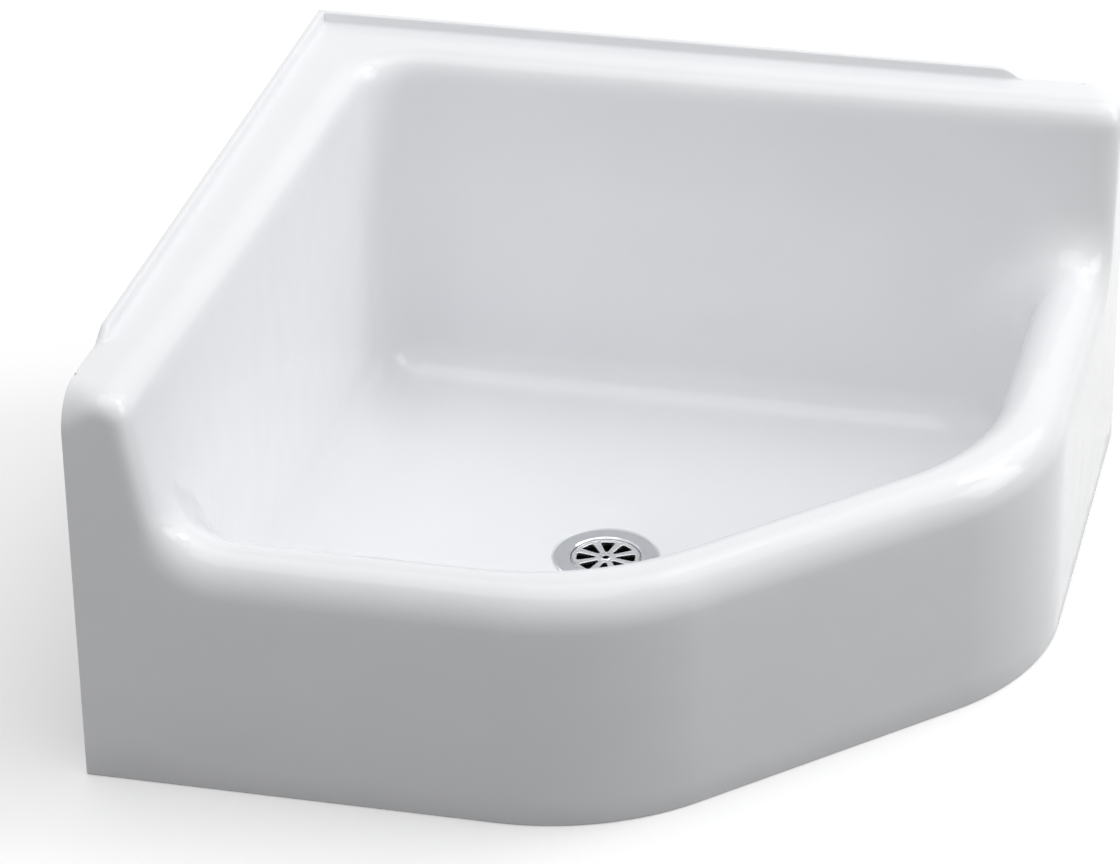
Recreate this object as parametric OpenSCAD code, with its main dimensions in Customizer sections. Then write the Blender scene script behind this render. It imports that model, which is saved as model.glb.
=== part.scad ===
// Corner mop service sink: an enamelled cast-iron basin with a high ledge and a tile flange along
// two walls, a low rolled rim and a full apron on the three open sides, and a drain strainer with a
// lift-out grate. Millimetres. The origin is on the floor, under the middle of the square plan.
// The walls stand at -X and +Y, and the shape is the same on both sides of the line x = -y.

/* [Plan] */
// Length of each wall side
side = 711.2; // [660:1:760]
// Length of wall side that the diagonal front face takes off
corner_cut = 295.2; // [270:1:310]
// Radius of the two vertical edges of the diagonal face
corner_r = 210; // [190:1:230]
// Radius of the basin's two vertical corners beside the diagonal face
basin_r = 200; // [160:1:215]

/* [Heights] */
// Top of the ledges along the walls
ledge_h = 336.5; // [320:0.5:350]
// Top of the low front rim
rim_h = 203.2; // [196:0.1:212]
// Height of the tile flange above the ledge
flange_h = 9.5; // [8:0.5:12]

/* [Rim] */
// Radius of the outer edge of the rim
outer_round = 33; // [28:0.5:35]
// Depth of that edge where it turns down over the end of a ledge
turn_round = 20; // [16:0.5:21]
// Radius of the inner edge of the ledges
ledge_round = 20; // [19.5:0.5:22]
// Radius of the inner edge of the low rim
rim_round = 24; // [20:0.5:26]
// Outer face of the rim to the basin wall
rim_w = 57; // [55:0.5:62]
// Wall plane to the basin wall, measured at the height of the low rim
ledge_w = 70.6; // [67:0.1:73]
// Radius of the small edges against the walls
edge_r = 3; // [2:0.5:3.5]

/* [Tile flange] */
// Thickness of the tile flange
flange_t = 7; // [6:0.5:8]
// Flange end to the front end of the ledge
flange_gap = 84; // [70:1:100]

/* [Basin] */
// Slope of the basin walls, as run over rise
draft = 0.063; // [0.05:0.001:0.08]
// Radius of the upright corner between the two walls
back_r = 50; // [45:1:60]
// Radius of the upright corners at the ends of the front rim
end_r = 90; // [80:1:100]
// Radius where a ledge comes down to the low rim
shoulder_r = 40; // [35:1:45]
// Radius between wall and floor
floor_r = 34; // [28:1:36]
// Height of the floor where it meets the walls
floor_h = 44; // [40:1:50]
// Thickness of the casting
wall_t = 8; // [7:0.5:8.5]

/* [Underside] */
// Depth of the turned-down lip along the walls
lip_h = 62; // [50:1:80]
// Width of the apron's return along the walls at the floor
return_w = 42; // [30:1:55]
// Radius of the foot under the back corner
foot_r = 32; // [26:1:36]
// Foot centre to each wall plane
foot_in = 128; // [120:1:140]

/* [Drain] */
// Drain centre to each wall plane
drain_in = 330.2; // [325:0.1:335]
// Height of the seat that the strainer flange is sealed on
seat_h = 16; // [15.5:0.1:17]
// Outer radius of the strainer flange
strainer_r = 44.45; // [44:0.05:44.9]
// Thickness of the strainer flange
strainer_t = 3; // [2.5:0.1:3.5]
// Thread radius of the shank
shank_r = 36.5; // [35:0.1:36.8]
// Radius of the bore that takes the waste pipe
bore_r = 28.6; // [28:0.1:28.9]
// Radius of the grate
grate_r = 29.3; // [29:0.1:29.4]
// Thickness of the grate
grate_t = 3; // [2.5:0.1:3]
// Number of slots in the grate
slots = 8; // [6:1:9]
// Radius of the hole in the middle of the grate
eye_r = 2.9; // [2:0.1:3.5]

/* [Hidden] */
$fn = 96;

half = side / 2;
diag = side - corner_cut;              // x - y on the diagonal face
rim_r = rim_w + basin_r;               // the basin's corner radius, taken out to the outer faces
drain = [drain_in - half, half - drain_in];
rim_low = rim_h - rim_round;           // lower end of the low rim's inner edge
edge_low = ledge_h - ledge_round;      // lower end of the ledges' inner edge
wall_foot = ledge_w + draft * (rim_h - floor_h);
rim_foot = rim_w + draft * (rim_low - floor_h);
ledge_in = ledge_w - draft * (edge_low - rim_h);
lip_z = ledge_h - lip_h;

// Taper of the ledges towards their front ends
taper_from = 250;                      // where it starts, as a y on the left wall
taper_to = 15;                         // where it is full, in from the front face
taper_len = taper_from + half - taper_to;
end_step = 3;                          // width that it adds low down
end_lean = 0.13;                       // slope that it adds above the low rim, as run over rise
lean_soft = 12;                        // height over which that slope sets in

// The drain's dish in the floor, its hole and the boss round it
dish_d = 4;
dish_in = 47;
dish_w = 38;
hole_r = 38;
recess_r = 45.3;                       // edge of the enamel round the strainer flange
boss_r = 52;
boss_z = 9;                            // face that the lock nut is drawn up to
foot_top = 38;                         // end of the foot, inside the casting's floor
cut_h = 60;                            // height of the tools that cut the hole and the recess

function mix(a, b, t) = a + (b - a) * t;
function clamp01(t) = min(max(t, 0), 1);
function ease(t) = let (u = clamp01(t)) u * u * (3 - 2 * u);
function unit(v) = v / norm(v);
// Rounded joint and rounded overlap of two distances, with radius r
function join(a, b, r) = max(r, min(a, b)) - norm([max(r - a, 0), max(r - b, 0)]);
function meet(a, b, r) = min(-r, max(a, b)) + norm([max(r + a, 0), max(r + b, 0)]);
// Zero below -w and q above w, with a smooth bend between
function bend(q, w) = q < -w ? 0 : q > w ? q : pow(q + w, 2) / (4 * w);

// Centre of the corner of radius r between the front and the diagonal face
function arc_centre(r) = [diag - half - r * tan(22.5), r - half];
// Distance in from the three open faces, with their corners rounded to r
function inset(x, y, r) =
    let (c = arc_centre(r), v = [x, y] - c, w = [x + c[1], y + c[0]])
    v[0] >= 0 && v[1] <= -v[0] ? r - norm(v)
    : w[1] <= 0 && w[0] >= -w[1] ? r - norm(w)
    : min(y + half, half - x, (diag - x + y) / sqrt(2));

// Distance out of a ledge's basin wall: a is the distance from the wall plane, and along runs from
// 0 at the back corner to 1 at the front end of the ledge
function wall_face(a, z, along) =
    let (t = pow(clamp01(along), 2), up = z - rim_h)
    let (off = ledge_w + end_step * t - draft * up - end_lean * t * bend(up, lean_soft))
    (a - off) / norm([1, draft + end_lean * t * clamp01(up / (2 * lean_soft) + 0.5)]);

// Height of the basin floor, which falls to the drain from five sides
sides = [
    [[-1, 0], drain_in - wall_foot],
    [[0, 1], drain_in - wall_foot],
    [[0, -1], side - drain_in - rim_foot],
    [[1, 0], side - drain_in - rim_foot],
    [[1, -1] / sqrt(2), (diag - 2 * drain[0]) / sqrt(2) - rim_foot]
];
side_blend = 6;                        // how sharply the five slopes meet
function floor_z(x, y) =
    let (
        p = [x, y] - drain,
        low = seat_h + dish_d,
        sum = [for (s = sides) pow(max(p * s[0] / s[1], 0), side_blend)] * [for (s = sides) 1],
        dish = 1 - ease((norm(p) - dish_in) / dish_w)
    )
    low + (floor_h - low) * pow(sum, 1 / side_blend) - dish_d * dish;

// Signed distance out of the casting's upper skin, before the outer edge is rounded
end_fade = 70;                         // height over which the shoulder's radius grows to end_r
fade_top = rim_h + 15;
function skin(p) =
    let (
        x = p[0],
        y = p[1],
        z = p[2],
        left = wall_face(x + half, z, (taper_from - y) / taper_len),
        back = wall_face(half - y, z, (taper_from + x) / taper_len),
        ledges = meet(z - ledge_h, join(left, back, back_r), ledge_round),
        inner = (inset(x, y, rim_r) - rim_w + draft * (z - rim_low)) / norm([1, draft]),
        rim = meet(z - rim_h, inner, rim_round),
        r = mix(shoulder_r, end_r, ease((fade_top - z) / end_fade))
    )
    join(join(ledges, rim, r), z - floor_z(x, y), floor_r);

function slope(p, e = 0.05) = [
    for (d = [[e, 0, 0], [0, e, 0], [0, 0, e]]) (skin(p + d) - skin(p - d)) / (2 * e)
];
// The nearest point of the skin, reached in steps along its slope
function settle(p, steps = 5) =
    steps == 0 ? p
    : let (g = slope(p)) settle(p - g * skin(p) * 0.95 / max(g * g, 0.2), steps - 1);
// Height of the skin above a point of the rim's crest line, found by halving
function crest_z(x, y, low = 150, high = 400, steps = 26) =
    let (z = (low + high) / 2)
    steps == 0 ? z
    : skin([x, y, z]) > 0 ? crest_z(x, y, low, z, steps - 1)
    : crest_z(x, y, z, high, steps - 1);

// The casting is a net: stations round the plan, and at each station a closed section of points,
// from the foot of the apron over the rim and down to the drain, and back under the shell.
edge_steps = 7;
land_part = 0.42;                      // share of the rim's top that is flat
land_steps = [0.5, 1];
round_angles = [17, 34, 51, 68, 84];
fillet_angles = [18, 36, 54, 72, 90];
down_steps = [0, 0.25, 0.5, 0.75, 1];
floor_steps = [0.2, 0.45, 0.7, 1];
floor_crowd = 0.8;                     // below 1, rings lie closer to the drain
hole_end = 42;                         // where the net stops, inside the drain's boss

// Sections of the plain edge and of the tile flange: in from the wall plane, and up from the ledge
plain_edge = [
    [0, -edge_r], [0.3 * edge_r, -0.3 * edge_r], [edge_r, 0], [4, 0],
    [5.5, 0], [7, 0], [8.5, 0], [11, 0]
];
flange_edge = [
    [0, flange_h - 3], [0.9, flange_h - 0.9], [3, flange_h], [flange_t - 2.4, flange_h],
    [flange_t - 0.3, flange_h - 1.1], [flange_t + 0.3, 4], [flange_t + 1.3, 1.2], [flange_t + 4, 0]
];
flange_fade = 22;                      // length over which the flange's end runs out

// A station is [kind, place, edge, foot, mitred]. The place is a y on the wall, an angle round the
// upright edge at the ledge's end, or a plan point of the rim's crest line. The edge and the foot are
// rough points at the rim's inner edge and where the basin wall meets the floor.
WALL = 0;
CORNER = 1;
CREST = 2;
function on_wall(y, edge, foot, mitred = false) = [WALL, y, edge, foot, mitred];
function at_corner(angle, edge, foot) = [CORNER, angle, edge, foot, false];
function on_crest(x, y, edge, foot) = [CREST, [x, y], edge, foot, false];

back_foot_r = back_r + 10;
// Foot of the basin wall in the corner of radius end_r, for t from 0 to 1 round the corner
function end_foot(t) =
    let (w = 180 + 90 * t)
    [wall_foot + end_r * (1 + cos(w)) - half, rim_foot + end_r * (1 + sin(w)) - half, floor_h];
function curve(a, b, c, d, t) =
    pow(1 - t, 3) * a + 3 * pow(1 - t, 2) * t * b + 3 * (1 - t) * t * t * c + t * t * t * d;

// The rim's inner edge runs down the shoulder on a curve through these points, each given as in from
// the wall plane, in from the open face, and height
run_start = [53, 94, ledge_h - 22.5];
run_high = [66, 79, 250];
run_low = [88, 63, rim_low + 8];
run_end = [150, rim_w, rim_low];
fan = 210;                             // from here to the ledge's end the stations fan out
foot_share = 0.45;                     // part of the foot's corner that the ledge's end takes
wall_marks = [180, 152, 130, 110, 93, 79, 67, 57, 48, outer_round + 6];
crest_marks = [12, 20, 27, 33, 38, 42, 46, 50, 53, 56, 60, 65, 70, 76, 83, 92, 105, 125, 150];

function back_stations(n = 4) = [
    for (i = [0:n])
        let (
            w = 135 + 45 * i / n,
            around = [1 + cos(w), sin(w) - 1, 0],
            edge = [ledge_in - half, half - ledge_in, edge_low] + back_r * around,
            foot = [wall_foot - half, half - wall_foot, floor_h] + back_foot_r * around,
            y = i == 0 ? half : half - mix(flange_t + 4, ledge_in + back_r, i / n)
        )
        on_wall(y, edge, foot, i == 0)
];
function side_stations(n = 3) = [
    for (i = [1:n])
        let (
            y = mix(half - ledge_in - back_r, fan - half, i / n),
            foot_y = mix(half - wall_foot - back_foot_r, rim_foot + end_r - half, i / n)
        )
        on_wall(y, [ledge_in - half, y, edge_low], [wall_foot - half, foot_y, floor_h])
];
function wall_end_stations() =
    let (n = len(wall_marks))
    [
        for (i = [0:n - 1])
            let (
                q = (i + 1) / (n + 1),
                // The ledge grows narrower towards its end
                edge_in = mix([ledge_in - 4.5, fan], [run_start[0] + 1.5, run_start[1]], q)
            )
            on_wall(wall_marks[i] - half, [edge_in[0] - half, edge_in[1] - half, edge_low - 2],
                    end_foot(foot_share * q))
    ];
function shoulder_stations() =
    let (n = len(crest_marks) + 2, shift = [half, half, 0])
    [
        for (i = [0:n - 1])
            let (
                q = (i + 1) / n,
                edge = curve(run_start, run_high, run_low, run_end, q) - shift,
                foot = end_foot(mix(foot_share, 1, q))
            )
            i < 2 ? at_corner(90 * i, edge, foot)
            : on_crest(crest_marks[i - 2] - half, outer_round - half, edge, foot)
    ];
function front_stations(n = 2) = [
    for (i = [1:n])
        let (
            end = arc_centre(rim_r)[0],
            x = mix(run_end[0] - half, arc_centre(corner_r)[0], i / n),
            edge_x = mix(run_end[0] - half, end, i / n),
            foot_x = mix(wall_foot + end_r - half, end, i / n)
        )
        on_crest(x, outer_round - half, [edge_x, rim_w - half, rim_low],
                 [foot_x, rim_foot - half, floor_h])
];
// A point on the corner of radius r, taken in by off
function arc_point(w, off, z, r = rim_r) =
    let (c = arc_centre(r)) [c[0] + (r - off) * cos(w), c[1] + (r - off) * sin(w), z];
function arc_stations(n = 5) = [
    for (i = [1:n])
        let (w = -90 + 45 * i / n, p = arc_point(w, outer_round, 0, corner_r))
        on_crest(p[0], p[1], arc_point(w, rim_w, rim_low), arc_point(w, rim_foot, floor_h))
];
// The middle of the diagonal face, level with an arc's end
function middle(p) = [(p[0] - p[1]) / 2, (p[1] - p[0]) / 2, p[2]];
function middle_station() =
    let (
        p = middle(arc_point(-45, outer_round, 0, corner_r)),
        edge = middle(arc_point(-45, rim_w, rim_low)),
        foot = middle(arc_point(-45, rim_foot, floor_h))
    )
    [on_crest(p[0], p[1], edge, foot)];
function stations() = concat(
    back_stations(), side_stations(), wall_end_stations(), shoulder_stations(),
    front_stations(), arc_stations(), middle_station());

// Outward plan direction at a crest point of the open sides
function outward(p, e = 0.01) =
    -unit([inset(p[0] + e, p[1], corner_r) - inset(p[0] - e, p[1], corner_r),
           inset(p[0], p[1] + e, corner_r) - inset(p[0], p[1] - e, corner_r), 0]);

// The edge along the wall plane. Towards the ledge's end it grows sharper, and its flat points draw
// in to the corner.
crowd_len = 70;
end_edge_r = 1;
function wall_edge(y, mitred) =
    let (
        in_front = y + half,
        flange = ease((in_front - flange_gap) / flange_fade),
        open_out = ease((in_front - outer_round) / crowd_len),
        spread = mix(0.1, 1, open_out),
        rounding = mix(end_edge_r / edge_r, 1, open_out)
    )
    [
        for (j = [0:edge_steps])
            let (
                p = plain_edge[j],
                flat = [rounding * min(p[0], edge_r) + spread * max(p[0] - edge_r, 0), rounding * p[1]],
                q = mix(flat, flange_edge[j], flange)
            )
            [q[0] - half, mitred ? half - q[0] : y, ledge_h + q[1]]
    ];
// The top edge of the front face where it turns into the wall plane, depth in from that plane
function corner_edge(r, depth) = [
    for (j = [0:edge_steps])
        let (w = 90 * j / edge_steps)
        [depth - half, outer_round - r * cos(w) - half, ledge_h - outer_round + r * sin(w)]
];
// The rounded edge at the crest of the open sides, in steps from the face to the top, at a distance
// inside the skin. It is shallower where the crest turns down over the end of a ledge.
turn_in = 28;                          // length over which it grows shallow, in from the wall plane
turn_fade = 40;                        // height over which it grows deep again, above the low rim
function rolled(place, inside) =
    let (
        p = [place[0], place[1], crest_z(place[0], place[1])],
        out = outward(place),
        g = slope(p),
        up = unit(g - out * (g * out)),
        turned = ease((p[2] - rim_h) / turn_fade) * ease((p[0] + half) / turn_in),
        depth = mix(outer_round, turn_round, turned)
    )
    [
        for (j = [0:edge_steps])
            let (w = 90 * j / edge_steps)
            p - up * depth + up * sin(w) * (depth - inside) + out * cos(w) * (outer_round - inside)
    ];
function outer_edge(s) =
    s[0] == WALL ? wall_edge(s[1], s[4])
    : s[0] == CORNER ? corner_edge(outer_round - end_edge_r * (1 - sin(s[1])),
                                   end_edge_r * (1 - cos(s[1])))
    : rolled(s[1], 0);

under_r = 3;
function under_edge(s) =
    s[0] == WALL ? [
        for (j = [0:edge_steps])
            let (w = 90 * j / edge_steps, in = wall_t + under_r * (1 - cos(w)))
            [in - half, s[4] ? half - in : s[1], ledge_h - wall_t - under_r * (1 - sin(w))]
    ]
    : s[0] == CORNER ? corner_edge(outer_round - wall_t, wall_t)
    : rolled(s[1], wall_t);

// Rough points over the rim's top, down the basin wall and across the floor. The first is at top.
function inner_guess(top, edge, foot) =
    let (
        in = unit([drain[0] - foot[0], drain[1] - foot[1], 0]),
        fillet = foot + [0, 0, floor_r],
        start = foot + in * floor_r,
        end = [drain[0], drain[1], 0] - in * hole_end
    )
    concat(
        [for (t = land_steps) let (q = mix(top, edge, land_part * t)) [q[0], q[1], top[2]]],
        [
            for (w = round_angles)
                let (q = mix(top, edge, mix(land_part, 1, sin(w))))
                [q[0], q[1], mix(top[2], edge[2], 1 - cos(w))]
        ],
        [for (t = down_steps) mix(edge, fillet, t)],
        [for (w = fillet_angles) fillet + floor_r * (in * (1 - cos(w)) - [0, 0, sin(w)])],
        [
            for (t = floor_steps)
                let (q = mix(start, end, pow(t, floor_crowd)))
                [q[0], q[1], floor_z(q[0], q[1])]
        ]
    );

// Height of the lower edge: the apron reaches the floor, and along the walls it runs up to the lip
lift_len = 110;
function lower_edge(s) =
    s[0] != WALL ? 0
    : let (t = clamp01((s[1] + half - return_w) / lift_len)) lip_z * pow(1 - pow(1 - t, 3), 1 / 3);
function at_height(p, z) = [p[0], p[1], z];

under_picks = [edge_steps, 5, 3, 1, 0];
function section(s) =
    let (
        edge = outer_edge(s),
        under = under_edge(s),
        inner = [for (p = inner_guess(edge[edge_steps], s[2], s[3])) settle(p)],
        below = [for (i = [len(inner) - 1:-1:1]) inner[i] - wall_t * unit(slope(inner[i]))],
        z = lower_edge(s)
    )
    concat(
        [at_height(edge[0], z)], edge, inner, below,
        [for (j = under_picks) under[j]], [at_height(under[0], z)]);

// A closed net of sections, each joined to the next and the last to the first
module net(rows) {
    points = [for (r = rows) each r];
    n = len(rows);
    m = len(rows[0]);
    faces = [
        for (i = [0:n - 1], j = [0:m - 1])
            let (
                a = i * m + j,
                b = i * m + (j + 1) % m,
                c = (i + 1) % n * m + (j + 1) % m,
                d = (i + 1) % n * m + j,
                straight = norm(points[a] - points[c]) < norm(points[b] - points[d])
            )
            each straight ? [[a, b, c], [a, c, d]] : [[a, b, d], [b, c, d]]
    ];
    polyhedron(points = points, faces = faces);
}

module shell() {
    near = [for (s = stations()) section(s)];
    far = [for (i = [len(near) - 2:-1:1]) [for (p = near[i]) [-p[1], -p[0], p[2]]]];
    net(concat(near, far));
}

module at_drain(z) {
    translate([drain[0], drain[1], z]) children();
}

// A flat ring round the drain, with its lower face at z
module ring(r_in, r_out, z, t) {
    at_drain(z)
        difference() {
            cylinder(r = r_out, h = t);
            translate([0, 0, -t]) cylinder(r = r_in, h = 3 * t);
        }
}

module sink_body() {
    color("white")
        difference() {
            union() {
                shell();
                at_drain(boss_z) cylinder(r = boss_r, h = seat_h - boss_z);
                translate([foot_in - half, half - foot_in, 0]) cylinder(r = foot_r, h = foot_top);
            }
            at_drain(seat_h) cylinder(r = recess_r, h = cut_h);
            at_drain(-cut_h / 2) cylinder(r = hole_r, h = cut_h);
        }
}

// The stack of the drain fitting, from the seat up and from the boss down
gasket_t = 1;
gasket_in = 0.6;                       // gasket's edge, in from the flange's
flange_z = seat_h + gasket_t;
flange_top = flange_z + strainer_t;
recess_d = 1.2;                        // the grate lies this much below the flange
recess_w = 1.4;                        // width of the bright bevel round the grate
grate_gap = 0.4;
grate_z = flange_top - recess_d - grate_t;
lip_t = 2.6;                           // inner lip that carries the grate
lip_w = 3.2;
under_bevel = [0.5, 0.8];
top_bevel = [1.6, 1];
shank_z = 0.6;                         // clear of the floor
thread_gap = 0.05;
pack_t = 2.5;
pack_r = 50;
slip_t = 1;
slip_r = 48.5;
nut_r = 50;                            // over the corners
nut_turn_r = 49;                       // the corners are turned off to this
nut_bevel = [2.5, 1.2];
nut_t = boss_z - pack_t - slip_t - shank_z;

module flange_gasket() {
    color("gainsboro") ring(hole_r, strainer_r - gasket_in, seat_h, gasket_t);
}

module strainer_body() {
    seat_r = grate_r + grate_gap;
    lip_r = bore_r - lip_w;
    color("silver")
        at_drain(0)
        rotate_extrude()
        polygon([
            [bore_r, shank_z], [shank_r, shank_z], [shank_r, flange_z],
            [strainer_r - under_bevel[0], flange_z], [strainer_r, flange_z + under_bevel[1]],
            [strainer_r, flange_top - top_bevel[1]], [strainer_r - top_bevel[0], flange_top],
            [seat_r + recess_w, flange_top], [seat_r, flange_top - recess_d], [seat_r, grate_z],
            [lip_r, grate_z], [lip_r, grate_z - lip_t], [bore_r, grate_z - lip_t]
        ]);
}

// One slot: a wedge with a round inner end and rounded outer corners, along +X from the centre
slot_in = 10.2;
slot_out = 24.5;
slot_in_r = 1.6;
slot_out_r = 2;
slot_half_w = 5.7;                     // half the width at the outer end
slot_turn = 8;                         // angle of the first slot
function arc(x, y, r, from, to, n = 5) = [
    for (i = [0:n]) let (w = mix(from, to, i / n)) [x + r * cos(w), y + r * sin(w)]
];
module slot() {
    x = slot_out - slot_out_r;
    y = slot_half_w - slot_out_r;
    tangent = atan2(y, x - slot_in) + acos((slot_in_r - slot_out_r) / norm([x - slot_in, y]));
    linear_extrude(grate_t + 2, center = true)
        polygon(concat(
            arc(x, -y, slot_out_r, -tangent, 0),
            arc(x, y, slot_out_r, 0, tangent),
            arc(slot_in, 0, slot_in_r, tangent, 360 - tangent, 8)
        ));
}

module grate() {
    color("gainsboro")
        at_drain(grate_z + grate_t / 2)
        difference() {
            cylinder(r = grate_r, h = grate_t, center = true);
            cylinder(r = eye_r, h = grate_t + 2, center = true);
            for (i = [0:slots - 1])
                rotate(slot_turn + 360 * i / slots) slot();
        }
}

module under_gasket() {
    color("dimgray") ring(shank_r + 0.5, pack_r, boss_z - pack_t, pack_t);
}

module friction_ring() {
    color("burlywood") ring(shank_r + 0.4, slip_r, boss_z - pack_t - slip_t, slip_t);
}

// Eight-sided nut with turned corners and a bevelled lower edge
module lock_nut() {
    color("darkkhaki")
        at_drain(shank_z)
        difference() {
            intersection() {
                cylinder(r = nut_r, h = nut_t, $fn = 8);
                union() {
                    cylinder(r1 = nut_turn_r - nut_bevel[0], r2 = nut_turn_r, h = nut_bevel[1]);
                    translate([0, 0, nut_bevel[1]]) cylinder(r = nut_turn_r, h = nut_t - nut_bevel[1]);
                }
            }
            translate([0, 0, -nut_t]) cylinder(r = shank_r + thread_gap, h = 3 * nut_t);
        }
}

sink_body();
flange_gasket();
strainer_body();
grate();
under_gasket();
friction_ring();
lock_nut();
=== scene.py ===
import math

import bpy
import numpy as np
from mathutils import Matrix, Vector


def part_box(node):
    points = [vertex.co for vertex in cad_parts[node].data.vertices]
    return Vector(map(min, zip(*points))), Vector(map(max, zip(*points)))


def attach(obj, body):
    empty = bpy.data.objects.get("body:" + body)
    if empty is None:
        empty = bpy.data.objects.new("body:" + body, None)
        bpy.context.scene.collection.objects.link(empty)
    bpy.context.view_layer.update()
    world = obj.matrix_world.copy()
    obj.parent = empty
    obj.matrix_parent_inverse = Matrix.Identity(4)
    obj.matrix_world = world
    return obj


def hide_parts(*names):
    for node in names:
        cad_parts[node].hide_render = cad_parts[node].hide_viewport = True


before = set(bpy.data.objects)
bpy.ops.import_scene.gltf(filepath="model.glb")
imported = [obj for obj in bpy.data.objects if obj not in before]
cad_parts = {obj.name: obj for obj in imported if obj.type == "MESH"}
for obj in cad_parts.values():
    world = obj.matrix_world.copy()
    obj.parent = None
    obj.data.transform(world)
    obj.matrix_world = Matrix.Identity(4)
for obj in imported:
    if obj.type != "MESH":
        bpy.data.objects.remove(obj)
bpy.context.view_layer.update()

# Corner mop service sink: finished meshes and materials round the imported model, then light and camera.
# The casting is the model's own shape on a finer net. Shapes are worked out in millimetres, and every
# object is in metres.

MM = 0.001

# ---- Camera: the photograph's viewpoint, for a frame of 1120 x 864 pixels

PHOTO_W = 1120
CAMERA_AT = Vector((0.7472, -3.2677, 2.0049))
CAMERA_AZIMUTH = 13.82  # degrees round from the front, towards +X
CAMERA_ELEVATION = 28.89
CAMERA_ROLL = -0.99
FOCAL_PX = 4694
SENSOR_MM = 36


def new_object(name, data):
    """An object with this data, in the scene."""
    made = bpy.data.objects.new(name, data)
    bpy.context.scene.collection.objects.link(made)
    return made


def make_camera():
    azimuth, elevation, roll = (math.radians(d) for d in (CAMERA_AZIMUTH, CAMERA_ELEVATION, CAMERA_ROLL))
    back = Vector((math.sin(azimuth) * math.cos(elevation),
                   -math.cos(azimuth) * math.cos(elevation),
                   math.sin(elevation)))
    level = Vector((0, 0, 1)).cross(back).normalized()
    above = back.cross(level)
    right = level * math.cos(roll) + above * math.sin(roll)
    up = above * math.cos(roll) - level * math.sin(roll)
    data = bpy.data.cameras.new("camera")
    data.sensor_width = SENSOR_MM
    data.lens = FOCAL_PX / PHOTO_W * SENSOR_MM
    data.clip_end = 50
    camera = new_object("camera", data)
    camera.matrix_world = Matrix.Translation(CAMERA_AT) @ Matrix((right, up, back)).transposed().to_4x4()
    bpy.context.scene.camera = camera


make_camera()

# ---- Small helpers


def linear(code):
    """An sRGB hex colour as linear RGBA."""
    parts = [int(code[i:i + 2], 16) / 255 for i in (1, 3, 5)]
    return tuple(c / 12.92 if c <= 0.04045 else ((c + 0.055) / 1.055) ** 2.4 for c in parts) + (1.0,)


def add(tree, kind, inputs=None, **settings):
    """Adds a node. An input is given by name or number, as a value, or as what feeds it: an output, or a
    node for its first output."""
    node = tree.nodes.new(kind)
    for name, value in settings.items():
        setattr(node, name, value)
    for key, value in (inputs or {}).items():
        if isinstance(value, bpy.types.Node):
            value = value.outputs[0]
        if isinstance(value, bpy.types.NodeSocket):
            tree.links.new(value, node.inputs[key])
        else:
            node.inputs[key].default_value = value
    return node


def mesh_object(name, vertices, faces, material):
    """A finished piece from points in millimetres."""
    mesh = bpy.data.meshes.new(name)
    mesh.from_pydata([tuple(v) for v in np.asarray(vertices, float) * MM], [], [tuple(f) for f in faces])
    mesh.validate()
    mesh.materials.append(material)
    mesh.shade_smooth()
    return new_object(name, mesh)


# ---- Sizes of the casting, millimetres, as in the part's own source

box_low, box_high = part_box("sink_body")
SIDE = (box_high.x - box_low.x) / MM
HALF = SIDE / 2

# Plan and heights
FLANGE_H = 9.5  # tile flange above the ledge
LEDGE_H = box_high.z / MM - FLANGE_H
LEDGE_W = 70.6  # at the low rim's height
RIM_H, RIM_W = 203.2, 57  # low front rim
CORNER_CUT = 295.2  # the diagonal face takes this off both front sides
CORNER_R, BASIN_R = 210, 200  # corners beside it, of the outer face and of the rim's inner edge
DRAIN_IN = 330.2  # drain's middle from both walls
WALL_T = 8

# Roundings
OUTER_ROUND = 33  # outer edge of the rim and of the ledge's end
TURN_ROUND = 20  # its depth where it turns up to the ledge
TURN_FADE, TURN_IN = 40, 28  # height and distance in over which it gets that shallow
TURN_SQUARE = 2.8  # power of the rounding there: above 2 it is fuller than an ellipse
LEDGE_ROUND, RIM_ROUND = 20, 24  # inner edges
EDGE_R, END_EDGE_R = 3, 1  # ledge's edge on the wall plane, and the same at its front end
CROWD_LEN = 70  # length over which the one becomes the other
BACK_R = 50  # upright corner between the two ledge walls
END_R, SHOULDER_R = 90, 40  # corner of ledge wall and rim, in the basin and on the shoulder
FADE_TOP, END_FADE = RIM_H + 15, 70  # from this height down, and over this, the second becomes the first
FLOOR_R = 34  # foot of all the walls

# Tile flange and ledge walls
FLANGE_T = 7
FLANGE_GAP, FLANGE_FADE = 84, 22  # from the front to the flange, and the length of its slope
DRAFT = 0.063  # lean of the walls, out for each mm up
TAPER_FROM = 250  # from here a ledge wall changes towards the ledge's end,
TAPER_LEN = TAPER_FROM + HALF - 15  # over this length, by
END_STEP, END_LEAN = 3, 0.13  # this much out, and this much more lean above the rim
LEAN_SOFT = 12  # half the height over which that lean sets in

# Floor, drain and underside
FLOOR_H = 44  # at the foot of the walls
SEAT_H = 16  # the seat of the drain's flange
DISH_D, DISH_IN, DISH_W = 4, 47, 38  # dish round it: depth, radius of its flat part, width of its slope
HOLE_R, RECESS_R = 38, 45.3
BOSS_R, BOSS_Z = 52, 9
LIP_H = 62  # lip on the wall sides, down from the ledge
RETURN_W, LIFT_LEN = 42, 110  # the apron's turn along the wall, and its rise to the lip
FOOT_R, FOOT_IN = 32, 128  # round foot: radius, and its middle from both walls

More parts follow.
